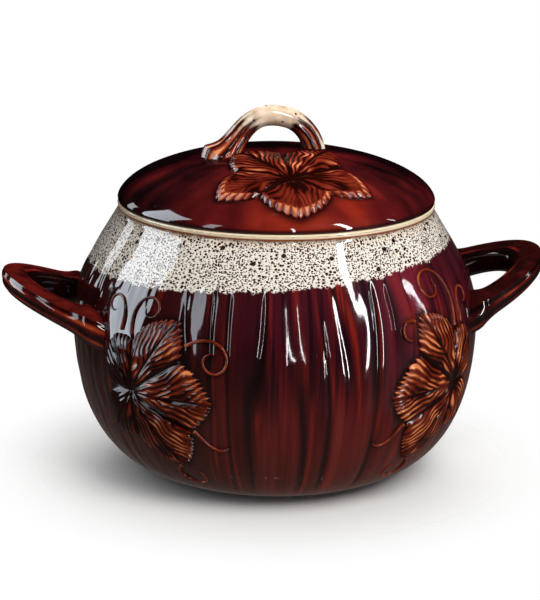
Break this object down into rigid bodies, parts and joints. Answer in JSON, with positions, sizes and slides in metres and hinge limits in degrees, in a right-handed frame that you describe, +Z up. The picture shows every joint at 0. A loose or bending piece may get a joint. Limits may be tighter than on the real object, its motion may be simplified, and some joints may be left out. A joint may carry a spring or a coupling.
{
  "type": "lidded baking pot",
  "caption": "Round-bellied glazed stoneware baking pot with raised loop handles, vine-leaf relief on its flanks and a lift-off domed lid with a stem-shaped handle.",
  "frame": {"origin": "on the table at the middle of the foot, directly under the middle of the pot", "axes": "+Z up along the pot's axis; +X towards the right handle; the front, which the picture shows, faces -Y"},
  "size_m": [0.329, 0.244, 0.2209],
  "materials": {
    "brown_glaze": "glossy oxblood-brown glaze, with a speckled cream band below the rim",
    "relief_glaze": "glossy brown glaze, breaking to amber on the raised lines",
    "stem_glaze": "glossy cream glaze over brown"
  },
  "bodies": {
    "pot": {"pot_body": "brown_glaze", "handle_left": "brown_glaze", "handle_right": "brown_glaze", "leaf_front_left": "relief_glaze", "leaf_front_right": "relief_glaze", "leaf_back_left": "relief_glaze", "leaf_back_right": "relief_glaze", "tendril_upper_front_left": "relief_glaze", "tendril_upper_front_right": "relief_glaze", "tendril_upper_back_left": "relief_glaze", "tendril_upper_back_right": "relief_glaze", "tendril_back_front_left": "relief_glaze", "tendril_back_front_right": "relief_glaze", "tendril_back_back_left": "relief_glaze", "tendril_back_back_right": "relief_glaze", "tendril_front_front_left": "relief_glaze", "tendril_front_front_right": "relief_glaze", "tendril_front_back_left": "relief_glaze", "tendril_front_back_right": "relief_glaze", "tendril_lower_front_left": "relief_glaze", "tendril_lower_front_right": "relief_glaze", "tendril_lower_back_left": "relief_glaze", "tendril_lower_back_right": "relief_glaze", "tendril_foot_front_left": "relief_glaze", "tendril_foot_front_right": "relief_glaze", "tendril_foot_back_left": "relief_glaze", "tendril_foot_back_right": "relief_glaze"},
    "lid": {"lid_shell": "brown_glaze", "lid_leaf": "relief_glaze", "lid_stem_handle": "stem_glaze"}
  },
  "joints": [
    {"name": "lid_lift", "type": "slide", "parent": "pot", "child": "lid", "axis": [0, 0, 1], "range_m": [0, 0.15]}
  ]
}
